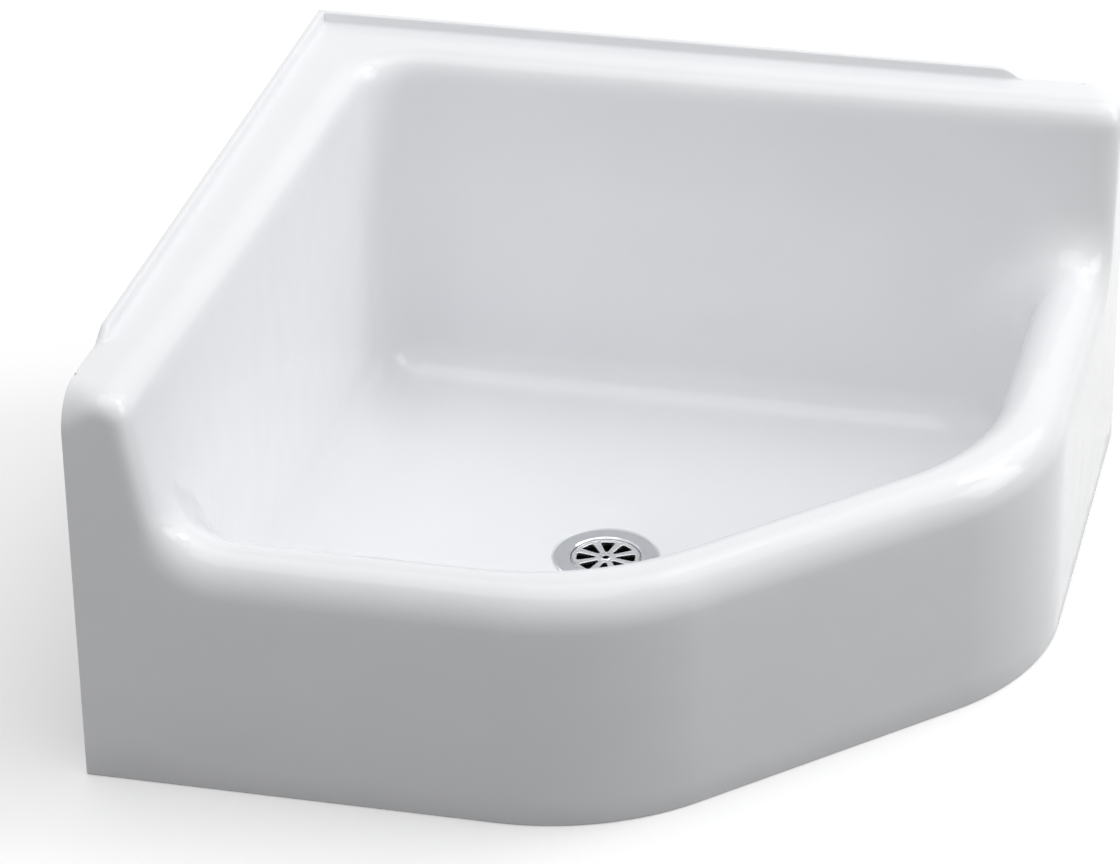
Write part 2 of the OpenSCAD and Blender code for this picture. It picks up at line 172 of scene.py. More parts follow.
DIAG = SIDE - CORNER_CUT
DRAIN = np.array([DRAIN_IN - HALF, HALF - DRAIN_IN])
RIM_LOW = RIM_H - RIM_ROUND
EDGE_LOW = LEDGE_H - LEDGE_ROUND
WALL_FOOT = LEDGE_W + DRAFT * (RIM_H - FLOOR_H)
RIM_FOOT = RIM_W + DRAFT * (RIM_LOW - FLOOR_H)
LEDGE_IN = LEDGE_W - DRAFT * (EDGE_LOW - RIM_H)
LIP_Z = LEDGE_H - LIP_H
RIM_R = RIM_W + BASIN_R

# Where the net's stations run
BACK_FOOT_R = BACK_R + 10  # round the back corner's foot
RUN = np.array([[53, 94, LEDGE_H - 22.5], [66, 79, 250], [88, 63, RIM_LOW + 8], [150, RIM_W, RIM_LOW]])
FAN = 210  # they fan out from this far behind the front
FOOT_SHARE = 0.45  # share of the foot's turn that the wall's stations take


def mix(a, b, t):
    return a + (b - a) * t


def ease(t):
    u = np.clip(t, 0, 1)
    return u * u * (3 - 2 * u)


def unit(v):
    return v / np.linalg.norm(v, axis=-1, keepdims=True)


def join(a, b, r):
    """The nearer of two solids, with a fillet of r between them."""
    return np.maximum(r, np.minimum(a, b)) - np.hypot(np.maximum(r - a, 0), np.maximum(r - b, 0))


def meet(a, b, r):
    """What two solids share, with its edge rounded to r."""
    return np.minimum(-r, np.maximum(a, b)) + np.hypot(np.maximum(r + a, 0), np.maximum(r + b, 0))


def bend(q, w):
    """0 below -w and q above w, with a soft turn between."""
    return np.where(q < -w, 0, np.where(q > w, q, (q + w) ** 2 / (4 * w)))


def arc_centre(r):
    """Centre of the rounded corner between the front and the diagonal face."""
    return DIAG - HALF - r * math.tan(math.pi / 8), r - HALF


def inset(x, y, r=CORNER_R):
    """Distance in from the three open faces, with their corners rounded to r."""
    cx, cy = arc_centre(r)
    vx, vy = x - cx, y - cy
    wx, wy = x + cy, y + cx
    plain = np.minimum(np.minimum(y + HALF, HALF - x), (DIAG - x + y) / math.sqrt(2))
    plain = np.where((vx >= 0) & (vy <= -vx), r - np.hypot(vx, vy), plain)
    return np.where((wy <= 0) & (wx >= -wy), r - np.hypot(wx, wy), plain)


def wall_face(a, z, along):
    """Distance out of a ledge's basin wall, a from the wall plane and along its length from 0 to 1."""
    t = np.clip(along, 0, 1) ** 2
    up = z - RIM_H
    off = LEDGE_W + END_STEP * t - DRAFT * up - END_LEAN * t * bend(up, LEAN_SOFT)
    lean = DRAFT + END_LEAN * t * np.clip(up / (2 * LEAN_SOFT) + 0.5, 0, 1)
    return (a - off) / np.hypot(1, lean)


# The five sides from which the floor falls to the drain: direction, and distance to the wall's foot
S = math.sqrt(0.5)
SIDES = [(-1, 0, DRAIN_IN - WALL_FOOT), (0, 1, DRAIN_IN - WALL_FOOT),
         (0, -1, SIDE - DRAIN_IN - RIM_FOOT), (1, 0, SIDE - DRAIN_IN - RIM_FOOT),
         (S, -S, (DIAG - 2 * DRAIN[0]) * S - RIM_FOOT)]
SIDE_BLEND = 6  # how sharply the five slopes meet


def floor_z(x, y):
    """Height of the basin's floor."""
    px, py = x - DRAIN[0], y - DRAIN[1]
    total = sum(np.maximum((px * nx + py * ny) / run, 0) ** SIDE_BLEND for nx, ny, run in SIDES)
    low = SEAT_H + DISH_D
    dish = 1 - ease((np.hypot(px, py) - DISH_IN) / DISH_W)
    return low + (FLOOR_H - low) * total ** (1 / SIDE_BLEND) - DISH_D * dish


def skin(p):
    """Signed distance out of the casting's upper skin, before its outer edge is rounded."""
    x, y, z = p[..., 0], p[..., 1], p[..., 2]
    left = wall_face(x + HALF, z, (TAPER_FROM - y) / TAPER_LEN)
    back = wall_face(HALF - y, z, (TAPER_FROM + x) / TAPER_LEN)
    ledges = meet(z - LEDGE_H, join(left, back, BACK_R), LEDGE_ROUND)
    inner = (inset(x, y, RIM_R) - RIM_W + DRAFT * (z - RIM_LOW)) / math.hypot(1, DRAFT)
    rim = meet(z - RIM_H, inner, RIM_ROUND)
    r = mix(SHOULDER_R, END_R, ease((FADE_TOP - z) / END_FADE))
    return join(join(ledges, rim, r), z - floor_z(x, y), FLOOR_R)


def slope(p, e=0.05):
    """Gradient of the skin's distance."""
    return np.stack([(skin(p + d) - skin(p - d)) / (2 * e) for d in np.eye(3) * e], -1)


def settle(p, steps=5, share=0.95, least=0.2):
    """The nearest points of the skin, in steps of a share of the way. least keeps a flat slope safe."""
    for _ in range(steps):
        g = slope(p)
        p = p - g * (skin(p) * share / np.maximum((g * g).sum(-1), least))[..., None]
    return p


def crest_z(xy, below=150.0, above=400.0, halvings=26):
    """Height of the skin over a plan point."""
    low, high = np.full(len(xy), below), np.full(len(xy), above)
    for _ in range(halvings):
        z = (low + high) / 2
        out = skin(np.column_stack([xy, z])) > 0
        high, low = np.where(out, z, high), np.where(out, low, z)
    return (low + high) / 2


# ---- The casting's net: stations round the plan, and at each station one closed section of points

WALL, CORNER, CREST = 0, 1, 2
FINE = 3  # stations for each one of the part's own source


def finer(marks, n=FINE):
    """The marks with n - 1 more between each two."""
    steps = np.arange((len(marks) - 1) * n + 1) / n
    return np.interp(steps, np.arange(len(marks)), marks)


def end_foot(t):
    """The foot's turn from the ledge wall to the rim."""
    w = np.radians(180 + 90 * t)
    return [WALL_FOOT + END_R * (1 + np.cos(w)) - HALF, RIM_FOOT + END_R * (1 + np.sin(w)) - HALF, FLOOR_H]


def run_curve(t):
    """The rim's inner edge where it runs down the shoulder."""
    a, b, c, d = RUN - [HALF, HALF, 0]
    return (1 - t) ** 3 * a + 3 * (1 - t) ** 2 * t * b + 3 * (1 - t) * t * t * c + t ** 3 * d


def arc_point(w, off, z, r=RIM_R):
    """A point off in from the outer face, on the corner beside the diagonal face."""
    cx, cy = arc_centre(r)
    return [cx + (r - off) * math.cos(w), cy + (r - off) * math.sin(w), z]


def middle(p):
    """The middle of the diagonal face, level with a point at the arc's end."""
    return [(p[0] - p[1]) / 2, (p[1] - p[0]) / 2, p[2]]


def half_stations():
    """Stations from the back corner to the middle of the diagonal face: kind, place, edge, foot."""
    rows = []
    # Round the back corner
    n = 4 * FINE
    for i in range(n + 1):
        w = math.radians(135 + 45 * i / n)
        around = np.array([1 + math.cos(w), math.sin(w) - 1, 0])
        y = HALF if i == 0 else HALF - mix(FLANGE_T + 4, LEDGE_IN + BACK_R, i / n)
        rows.append((WALL, (y, i == 0),
                     np.array([LEDGE_IN - HALF, HALF - LEDGE_IN, EDGE_LOW]) + BACK_R * around,
                     np.array([WALL_FOOT - HALF, HALF - WALL_FOOT, FLOOR_H]) + BACK_FOOT_R * around))
    # Along the ledge
    n = 5 * FINE
    for i in range(1, n + 1):
        y = mix(HALF - LEDGE_IN - BACK_R, FAN - HALF, i / n)
        foot_y = mix(HALF - WALL_FOOT - BACK_FOOT_R, RIM_FOOT + END_R - HALF, i / n)
        rows.append((WALL, (y, False), [LEDGE_IN - HALF, y, EDGE_LOW], [WALL_FOOT - HALF, foot_y, FLOOR_H]))
    # Fanned out towards the ledge's end
    marks = finer([FAN, 180, 152, 130, 110, 93, 79, 67, 57, 48, OUTER_ROUND + 6])[1:]
    for i, mark in enumerate(marks):
        q = (i + 1) / (len(marks) + 1)
        in_wall, in_front = mix(LEDGE_IN - 4.5, RUN[0, 0] + 1.5, q), mix(FAN, RUN[0, 1], q)
        rows.append((WALL, (mark - HALF, False), [in_wall - HALF, in_front - HALF, EDGE_LOW - 2],
                     end_foot(FOOT_SHARE * q)))
    # Round the ledge's end and down the shoulder
    turns = np.linspace(0, 90, 2 * FINE)
    crests = finer([6, 12, 20, 27, 33, 38, 42, 46, 50, 53, 56, 60, 65, 70, 76, 83, 92, 105, 125, 150])
    n = len(turns) + len(crests)
    for i in range(n):
        q = (i + 1) / n
        foot = end_foot(mix(FOOT_SHARE, 1, q))
        if i < len(turns):
            rows.append((CORNER, (turns[i], 0), run_curve(q), foot))
        else:
            rows.append((CREST, (crests[i - len(turns)] - HALF, OUTER_ROUND - HALF), run_curve(q), foot))
    # Along the front, round its corner, and to the middle of the diagonal face
    n = 3 * FINE
    for i in range(1, n + 1):
        x, edge_x = (mix(RUN[3, 0] - HALF, arc_centre(r)[0], i / n) for r in (CORNER_R, RIM_R))
        foot_x = mix(WALL_FOOT + END_R - HALF, arc_centre(RIM_R)[0], i / n)
        rows.append((CREST, (x, OUTER_ROUND - HALF), [edge_x, RIM_W - HALF, RIM_LOW],
                     [foot_x, RIM_FOOT - HALF, FLOOR_H]))
    n = 8 * FINE
    for i in range(1, n + 1):
        w = math.radians(-90 + 45 * i / n)
        rows.append((CREST, arc_point(w, OUTER_ROUND, 0, CORNER_R)[:2], arc_point(w, RIM_W, RIM_LOW),
                     arc_point(w, RIM_FOOT, FLOOR_H)))
    n = 5
    parts = [arc_point(-math.pi / 4, *spot)
             for spot in ((OUTER_ROUND, 0, CORNER_R), (RIM_W, RIM_LOW), (RIM_FOOT, FLOOR_H))]
    for i in range(1, n + 1):
        place, edge, foot = (mix(np.array(p), np.array(middle(p)), i / n) for p in parts)
        rows.append((CREST, place[:2], edge, foot))
    return rows


def arc_steps(cx, cy, r, start, end, n):
    w = np.radians(np.linspace(start, end, n))
    return np.column_stack([cx + r * np.cos(w), cy + r * np.sin(w)])


# Sections along the wall plane: in from the plane, and up from the ledge's top
FLANGE_ROUND, FLANGE_FILLET = 2.0, 3.5
FLANGE_END = FLANGE_T + 8
END_FLAT = 0.04  # share of the flat strip's width that is left at the ledge's end
plain_edge = np.vstack([
    arc_steps(EDGE_R, -EDGE_R, EDGE_R, 180, 90, 5),
    np.column_stack([np.linspace(EDGE_R, FLANGE_END, 11)[1:], np.zeros(10)])])
flange_edge = np.vstack([
    arc_steps(EDGE_R, FLANGE_H - EDGE_R, EDGE_R, 180, 90, 5),
    arc_steps(FLANGE_T - FLANGE_ROUND, FLANGE_H - FLANGE_ROUND, FLANGE_ROUND, 90, 4, 4),
    arc_steps(FLANGE_T + FLANGE_FILLET + 0.3, FLANGE_FILLET, FLANGE_FILLET, 180, 270, 5),
    [[FLANGE_END, 0]]])


def wall_edge(y, mitred):
    """The ledge's edge on the wall plane, with or without the tile flange on it."""
    in_front = y + HALF
    flange = ease((in_front - FLANGE_GAP) / FLANGE_FADE)
    open_out = ease((in_front - OUTER_ROUND) / CROWD_LEN)
    rounding = mix(END_EDGE_R / EDGE_R, 1, open_out)
    flat = plain_edge * rounding
    flat[:, 0] = rounding * np.minimum(plain_edge[:, 0], EDGE_R)
    flat[:, 0] += mix(END_FLAT, 1, open_out) * np.maximum(plain_edge[:, 0] - EDGE_R, 0)
    q = mix(flat, flange_edge, flange)
    across = HALF - q[:, 0] if mitred else np.full(len(q), y)
    return np.column_stack([q[:, 0] - HALF, across, LEDGE_H + q[:, 1]])


EDGE_STEPS = 14


def quarter(n=EDGE_STEPS):
    """Cosines and sines over a quarter turn, one to a row."""
    w = np.radians(np.linspace(0, 90, n + 1))
    return np.cos(w)[:, None], np.sin(w)[:, None]


def corner_edge(r, depth):
    """The rounded edge at the ledge's end, in the wall plane or a depth behind it."""
    c, s = quarter()
    return np.column_stack([np.full(len(c), depth - HALF), OUTER_ROUND - r * c - HALF,
                            LEDGE_H - OUTER_ROUND + r * s])


def outward(xy, e=0.01):
    """The level direction out of the nearest open face."""
    x, y = xy
    g = np.array([inset(x + e, y) - inset(x - e, y), inset(x, y + e) - inset(x, y - e), 0])
    return -unit(g)


def rolled(xy, z, inside):
    """The rounded edge at the crest, a distance inside the skin. It is shallower over the ledge's turn."""
    p = np.array([xy[0], xy[1], z])
    out = outward(xy)
    g = slope(p)
    up = unit(g - out * (g @ out))
    c, s = quarter()
    turn = ease((z - RIM_H) / TURN_FADE) * ease((xy[0] + HALF) / TURN_IN)
    depth = mix(OUTER_ROUND, TURN_ROUND, turn)
    square = 2 / mix(2, TURN_SQUARE, turn)
    c, s = c ** square, s ** square
    return p - up * depth + up * s * (depth - inside) + out * c * (OUTER_ROUND - inside)


def plan_point(kind, place, out, a):
    """The plan point at distance a in from the outer face."""
    if kind == WALL:
        y, mitred = place
        return [a - HALF, HALF - a if mitred else y]
    if kind == CORNER:
        w = math.radians(place[0])
        if a >= END_EDGE_R:
            return [a - HALF, a - HALF]
        r = END_EDGE_R - a
        return [END_EDGE_R - r * math.cos(w) - HALF, END_EDGE_R - r * math.sin(w) - HALF]
    return list(np.array(place) + out[:2] * (OUTER_ROUND - a))


FOOT_ROUND = 2.0  # lower edges of the apron and the foot
BOTTOM = np.radians([0, 30, 60, 90])
FACE_RINGS = 7
# Rings of the skin inwards: the land, its inner rounding, the wall, the fillet at its foot, the floor
RING_LAND = [0.2, 0.4, 0.6, 0.8, 1.0]
RING_ROUND = np.radians([12, 24, 36, 48, 60, 72, 84])
RING_DOWN = np.linspace(0, 1, 14)
RING_FILLET = np.radians(np.linspace(0, 90, 11)[1:])
RING_FLOOR = np.linspace(0, 1, 17)[1:]
FLOOR_CROWD = 0.8  # below 1 the floor's rings crowd towards the drain
LAND_PART = 0.42  # share of the way from crest to edge that is land
ENAMEL_R = 1.2  # rounding of the enamel at the drain's recess
DRAIN_STOP = RECESS_R + ENAMEL_R


def inner_guess(top, edge, foot):
    """A station's points from the crest to the drain, close to the skin."""
    top, edge, foot = (np.asarray(p, float) for p in (top, edge, foot))
    toward = unit(np.append(DRAIN - foot[:2], 0))
    fillet = foot + [0, 0, FLOOR_R]
    start = foot + toward * FLOOR_R
    end = np.append(DRAIN, 0) - toward * DRAIN_STOP
    points = [np.append(mix(top, edge, LAND_PART * t)[:2], top[2]) for t in RING_LAND]
    for w in RING_ROUND:
        q = mix(top, edge, mix(LAND_PART, 1, math.sin(w)))
        points.append(np.append(q[:2], mix(top[2], edge[2], 1 - math.cos(w))))
    points += [mix(edge, fillet, t) for t in RING_DOWN]
    points += [fillet + FLOOR_R * (toward * (1 - math.cos(w)) - np.array([0, 0, math.sin(w)]))
               for w in RING_FILLET]
    for t in RING_FLOOR:
        q = mix(start, end, t ** FLOOR_CROWD)[:2]
        points.append(np.append(q, floor_z(q[0], q[1])))
    return points


def lower_edge(kind, place):
    """Height of the casting's lower edge: the floor, but for the lip on the wall sides."""
    if kind != WALL:
        return 0.0
    t = min(max((place[0] + HALF - RETURN_W) / LIFT_LEN, 0), 1)
    return LIP_Z * (1 - (1 - t) ** 3) ** (1 / 3)


def mirrored(net):
    """The net with its other half, turned about the line x = -y."""
    far = net[-2:0:-1]
    return np.concatenate([net, np.stack([-far[..., 1], -far[..., 0], far[..., 2]], -1)])


def smooth_skin(net, rounds=24, ring_share=0.5, section_share=0.15):
    """Evens out the net along its rings and sections. The first and last ring stay."""
    for _ in range(rounds):
        along = (np.roll(net, 1, 0) + np.roll(net, -1, 0)) / 2
        across = net.copy()
        across[:, 1:-1] = (net[:, :-2] + net[:, 2:]) / 2
        target = net + ring_share * (along - net) + section_share * (across - net)
        target[:, 0], target[:, -1] = net[:, 0], net[:, -1]
        net = settle(target, 2)
        net[:, 0], net[:, -1] = target[:, 0], target[:, -1]
    return net


def drain_rings(last):
    """From the floor's last ring over the enamel's edge, the seat, the hole and the boss."""
    p = last[:, :2] - DRAIN
    d = unit(p)
    z = last[:, 2]
    wall_top = z - ENAMEL_R
    w = np.radians([30, 60, 90])
    rows = [(DRAIN_STOP - ENAMEL_R * math.sin(a), z - ENAMEL_R * (1 - math.cos(a))) for a in w]
    seat = np.full(len(z), float(SEAT_H))
    rows += [(RECESS_R, mix(wall_top, seat, 0.6)), (RECESS_R - 0.4, seat), (HOLE_R + 0.5, seat),
             (HOLE_R, seat - 0.5)]
    boss = np.full(len(z), float(BOSS_Z))
    rows += [(HOLE_R, boss + 0.5), (HOLE_R + 0.5, boss), (BOSS_R - 1.5, boss), (BOSS_R - 0.4, boss + 0.4),
             (BOSS_R, boss + 1.5)]
    return np.stack([np.column_stack([DRAIN + d * r, h]) for r, h in rows], 1)


UNDER_PICKS = [14, 11, 8, 5, 2, 0]  # steps of the rounded edge that its underside keeps
UNDER_R = 3


def make_casting_net():
    """The six parts of the net, in order round a section. Each is stations x rings x 3."""
    rows = half_stations()
    crest = np.array([place for kind, place, _, _ in rows if kind == CREST])
    heights = iter(crest_z(crest))
    outer, tops, under, inside = [], [], [], []
    c, s = quarter()
    for kind, place, edge, foot in rows:
        out = None
        if kind == WALL:
            top = wall_edge(*place)
            a = WALL_T + UNDER_R * (1 - c)
            flat = np.column_stack([a - HALF, HALF - a if place[1] else np.full(len(a), place[0]),
                                    LEDGE_H - WALL_T - UNDER_R * (1 - s)])
            low = flat
        elif kind == CORNER:
            w = math.radians(place[0])
            top = corner_edge(OUTER_ROUND - END_EDGE_R * (1 - math.sin(w)), END_EDGE_R * (1 - math.cos(w)))
            low = corner_edge(OUTER_ROUND - WALL_T, WALL_T)
        else:
            z = next(heights)
            out = outward(place)
            top = rolled(place, z, 0)
            low = rolled(place, z, WALL_T)
        z0 = lower_edge(kind, place)

        def lower_round(a, sign):
            """The rounded lower edge, up to the face at a, whose metal lies towards sign."""
            return [plan_point(kind, place, out, a + sign * FOOT_ROUND * (1 - math.sin(w))) +
                    [z0 + FOOT_ROUND * (1 - math.cos(w))] for w in BOTTOM]

        bottom = lower_round(0, 1)
        face = np.linspace(bottom[-1], top[0], FACE_RINGS + 2)[1:-1]
        outer.append(np.vstack([bottom, face, top]))
        tops.append([top[-1]] + inner_guess(top[-1], edge, foot))
        under.append(low[UNDER_PICKS])
        base = lower_round(WALL_T, -1)[::-1]
        inner_face = np.linspace(low[0], base[0], FACE_RINGS + 2)[1:-1]
        inside.append(np.vstack([inner_face, base]))
    outer, tops, under, inside = (np.array(a, float) for a in (outer, tops, under, inside))
    tops = mirrored(np.concatenate([tops[:, :1], settle(tops[:, 1:])], 1))
    tops = smooth_skin(tops)
    drain = drain_rings(tops[:, -1])
    picks = np.arange(tops.shape[1] - 3, 0, -2)
    below = tops[:, picks] - WALL_T * unit(slope(tops[:, picks]))
    return [mirrored(outer), tops[:, 1:], drain, below, mirrored(under), mirrored(inside)]


def net_faces(n, m):
    """Quads between n sections of m points, closed both ways."""
    i, j = np.meshgrid(np.arange(n), np.arange(m), indexing="ij")
    a = i * m + j
    b = i * m + (j + 1) % m
    c = (i + 1) % n * m + (j + 1) % m
    d = (i + 1) % n * m + j
    return np.stack([a, d, c, b], -1).reshape(-1, 4)


# ---- Materials


def per_mm(size):
    """The scale of a pattern whose features are about this many millimetres across."""
    return 1 / (size * MM)


def new_material(name):
    """A material, its empty tree, and the place on a piece that its patterns go by."""
    material = bpy.data.materials.new(name)
    material.use_nodes = True
    tree = material.node_tree
    tree.nodes.clear()
    return material, tree, add(tree, "ShaderNodeTexCoord").outputs["Object"]


def surface(tree, inputs):
    """Ends a material in one shader with these inputs."""
    shader = add(tree, "ShaderNodeBsdfPrincipled", inputs)
    add(tree, "ShaderNodeOutputMaterial", {"Surface": shader})


def turned_lines(tree, place, pitch_mm):
    """Fine uneven lines round the drain's axis, as a lathe tool and a buffing wheel leave them."""
    offset = add(tree, "ShaderNodeVectorMath", {0: place, 1: (*DRAIN * MM, 0)}, operation="SUBTRACT")
    level = add(tree, "ShaderNodeVectorMath", {0: offset, 1: (1, 1, 0)}, operation="MULTIPLY")
    radius = add(tree, "ShaderNodeVectorMath", {0: level}, operation="LENGTH")
    lines = add(tree, "ShaderNodeTexNoise",
                {"W": radius.outputs["Value"], "Scale": per_mm(pitch_mm), "Detail": 2}, noise_dimensions="1D")
    return lines.outputs["Fac"]


def vitreous_enamel():
    """Vitreous enamel, sprayed on a sand-cast iron shell and fired.

    The glaze is glass: a hard shine, long shallow waves from the casting under it, and a fine orange
    peel. It wraps the edges raggedly and leaves the back and the underside as rough, dark iron.
    """
    material, tree, place = new_material("vitreous_enamel_fired")
    cover = add(tree, "ShaderNodeAttribute", attribute_name="glaze").outputs["Fac"]
    ragged = add(tree, "ShaderNodeTexNoise", {"Vector": place, "Scale": per_mm(14), "Detail": 3})
    reach = add(tree, "ShaderNodeMath", {0: ragged, 1: 0.5, 2: cover}, operation="MULTIPLY_ADD")
    glazed = add(tree, "ShaderNodeMapRange", {"Value": reach, "From Min": 0.68, "From Max": 0.8},
                 interpolation_type="SMOOTHSTEP")
    # The white is even, with the faintest clouds where the coat is thicker
    clouds = add(tree, "ShaderNodeTexNoise", {"Vector": place, "Scale": per_mm(110), "Detail": 2})
    white = add(tree, "ShaderNodeMixRGB", {0: clouds, 1: linear("#F2F3F5"), 2: linear("#EDEEF1")})
    # Sand-cast iron: grains of 2 mm, with thin rust in patches
    grain = add(tree, "ShaderNodeTexNoise", {"Vector": place, "Scale": per_mm(2), "Detail": 3})
    iron = add(tree, "ShaderNodeMixRGB", {0: grain, 1: linear("#2A2828"), 2: linear("#57524E")})
    patches = add(tree, "ShaderNodeTexNoise", {"Vector": place, "Scale": per_mm(35), "Detail": 4})
    rusty = add(tree, "ShaderNodeMapRange",
                {"Value": patches, "From Min": 0.5, "From Max": 0.75, "To Max": 0.6})
    rust = add(tree, "ShaderNodeMixRGB", {0: rusty, 1: iron, 2: linear("#5D4232")})
    colour = add(tree, "ShaderNodeMixRGB", {0: glazed, 1: rust, 2: white})
    rough = add(tree, "ShaderNodeMapRange", {"Value": glazed, "To Min": 0.65, "To Max": 0.1})
    # Waves 45 mm across and 0.6 mm deep at most, and an orange peel of 4 mm and 0.02 mm
    waves = add(tree, "ShaderNodeTexNoise", {"Vector": place, "Scale": per_mm(45), "Detail": 1})
    wavy = add(tree, "ShaderNodeBump", {"Height": waves, "Distance": 0.6 * MM})
    peel = add(tree, "ShaderNodeTexNoise", {"Vector": place, "Scale": per_mm(4), "Detail": 1})
    peeled = add(tree, "ShaderNodeBump", {"Height": peel, "Distance": 0.02 * MM, "Normal": wavy})
    bare = add(tree, "ShaderNodeMath", {0: 1.0, 1: glazed}, operation="SUBTRACT")
    sand = add(tree, "ShaderNodeMath", {0: grain, 1: bare}, operation="MULTIPLY")
    sandy = add(tree, "ShaderNodeBump", {"Height": sand, "Distance": 0.8 * MM, "Normal": peeled})
    surface(tree, {"Base Color": colour, "Roughness": rough, "IOR": 1.6, "Normal": sandy})
    return material


def polished_chrome():
    """Chrome plate on turned brass, buffed: a mirror with hair-fine rings and dull water marks."""
    material, tree, place = new_material("chrome_plate_buffed")
    lines = turned_lines(tree, place, 0.6)
    marks = add(tree, "ShaderNodeTexNoise", {"Vector": place, "Scale": per_mm(9), "Detail": 3})
    tint = add(tree, "ShaderNodeMixRGB", {0: marks, 1: linear("#E2E3E5"), 2: linear("#D6D7DA")})
    rough = add(tree, "ShaderNodeMapRange", {"Value": marks, "From Min": 0.35,
                                             "From Max": 0.7, "To Min": 0.1, "To Max": 0.2})
    ringed = add(tree, "ShaderNodeBump", {"Height": lines, "Distance": 0.02 * MM})
    surface(tree, {"Base Color": tint, "Metallic": 1.0, "Roughness": rough, "Normal": ringed})
    return material


def satin_chrome():
    """Chrome plate on a cast grate, only brushed first: softer, with short uneven scratches."""
    material, tree, place = new_material("chrome_plate_satin")
    turned = add(tree, "ShaderNodeMapping", {"Vector": place, "Rotation": (0, 0, math.radians(25)),
                                             "Scale": (1, 9, 1)})
    scratches = add(tree, "ShaderNodeTexNoise", {"Vector": turned, "Scale": per_mm(4), "Detail": 3})
    dull = add(tree, "ShaderNodeTexNoise", {"Vector": place, "Scale": per_mm(6), "Detail": 2})
    tint = add(tree, "ShaderNodeMixRGB", {0: dull, 1: linear("#EBEBEC"), 2: linear("#DCDDDF")})
    rough = add(tree, "ShaderNodeMapRange", {"Value": scratches, "To Min": 0.2, "To Max": 0.36})
    scratched = add(tree, "ShaderNodeBump", {"Height": scratches, "Distance": 0.03 * MM})
    surface(tree, {"Base Color": tint, "Metallic": 1.0, "Roughness": rough, "Normal": scratched})
    return material


def matt_material(name, colours, rough, patches, grain, deep_mm, drawn=None):
    """Two colours in patches, with a raised grain. Patches and grain are (size in mm, detail)."""
    material, tree, place = new_material(name)
    if drawn:
        place = add(tree, "ShaderNodeMapping", {"Vector": place, "Scale": drawn})
    patchy, grainy = (
        add(tree, "ShaderNodeTexNoise", {"Vector": place, "Scale": per_mm(size), "Detail": detail})
        for size, detail in (patches, grain))
    tint = add(tree, "ShaderNodeMixRGB", {0: patchy, 1: linear(colours[0]), 2: linear(colours[1])})
    raised = add(tree, "ShaderNodeBump", {"Height": grainy, "Distance": deep_mm * MM})
    surface(tree, {"Base Color": tint, "Roughness": rough, "Normal": raised})
    return material


def turned_brass():
    """Brass, cast and then faced on a lathe: yellow metal with tool rings and brown tarnish."""
    material, tree, place = new_material("brass_cast_and_turned")
    rings = turned_lines(tree, place, 0.8)
    tarnish = add(tree, "ShaderNodeTexNoise", {"Vector": place, "Scale": per_mm(14), "Detail": 4})
    dark = add(tree, "ShaderNodeMapRange", {"Value": tarnish, "From Min": 0.45, "From Max": 0.75})
    tint = add(tree, "ShaderNodeMixRGB", {0: dark, 1: linear("#C9A766"), 2: linear("#8A6B3D")})
    rough = add(tree, "ShaderNodeMapRange", {"Value": dark, "To Min": 0.28, "To Max": 0.5})
    ringed = add(tree, "ShaderNodeBump", {"Height": rings, "Distance": 0.06 * MM})
    surface(tree, {"Base Color": tint, "Metallic": 1.0, "Roughness": rough, "Normal": ringed})
    return material


enamel = vitreous_enamel()
buffed_chrome = polished_chrome()
grate_chrome = satin_chrome()
# White sealing compound, pressed out under the flange: soft and slightly lumpy
compound = matt_material("sealing_compound_pressed", ("#EEEEEC", "#E2E2DF"), 0.55, (2.5, 2), (2.5, 2), 0.12)
# Black rubber, with a pale bloom and the fine grain of the mould
rubber = matt_material("rubber_moulded", ("#161616", "#2B2B2A"), 0.7, (12, 3), (0.8, 1), 0.05)
# Vulcanised fibre, stamped from sheet: brown and dry, with long fibres lying one way
fibre = matt_material("fibre_sheet_stamped", ("#6E4F31", "#A5825A"), 0.75, (8, 4), (8, 4), 0.08, (1, 8, 1))
brass = turned_brass()


def rounded(points, radii, n=5):
    """A closed profile with its corners rounded."""
    points = np.array(points, float)
    out = []
    for i, p in enumerate(points):
        a, b = points[i - 1] - p, points[(i + 1) % len(points)] - p
        r = radii if np.isscalar(radii) else radii[i]
        la, lb = np.linalg.norm(a), np.linalg.norm(b)
        a, b = a / la, b / lb
        half_angle = math.acos(np.clip(a @ b, -1, 1)) / 2
        cut = min(r / math.tan(half_angle), 0.49 * la, 0.49 * lb)
        r = cut * math.tan(half_angle)
        centre = p + (a + b) / np.linalg.norm(a + b) * r / math.sin(half_angle)
        start, end = p + a * cut - centre, p + b * cut - centre
        sweep = math.pi - 2 * half_angle
        for t in np.linspace(0, 1, n + 1):
            arc = (math.sin((1 - t) * sweep) * start + math.sin(t * sweep) * end) / math.sin(sweep)
            out.append(centre + arc)
    return np.array(out)


def lathe(profile, centre=DRAIN, steps=192):
    """A closed profile of (radius, height), from its lower inner corner outwards, turned round an axis."""
    w = np.arange(steps) * 2 * math.pi / steps
    ring = np.stack([np.cos(w), np.sin(w)], -1)
    grid = np.empty((steps, len(profile), 3))
    grid[..., :2] = centre + ring[:, None] * profile[None, :, :1]
    grid[..., 2] = profile[:, 1]
    return grid.reshape(-1, 3), net_faces(steps, len(profile))


def dressed(piece, body, node):
    """Sets a finished piece on its body, in the place of its node."""
    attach(piece, body)
    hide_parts(node)


# ---- Pieces: the enamelled casting

FOOT_AT = np.array([FOOT_IN - HALF, HALF - FOOT_IN])
FOOT_FLARE = 5  # the foot widens by this where it grows out of the floor
FOOT_TOP = 36
FOOT_CORE = 3  # radius of the pin hole in the foot's end
THIN = 0.3  # share of glaze that drifts on to the wall sides
GLAZED_DRAIN_RINGS = 6  # how far the enamel reaches into the drain's recess
CREASE = 32  # degrees from which an edge shades sharp


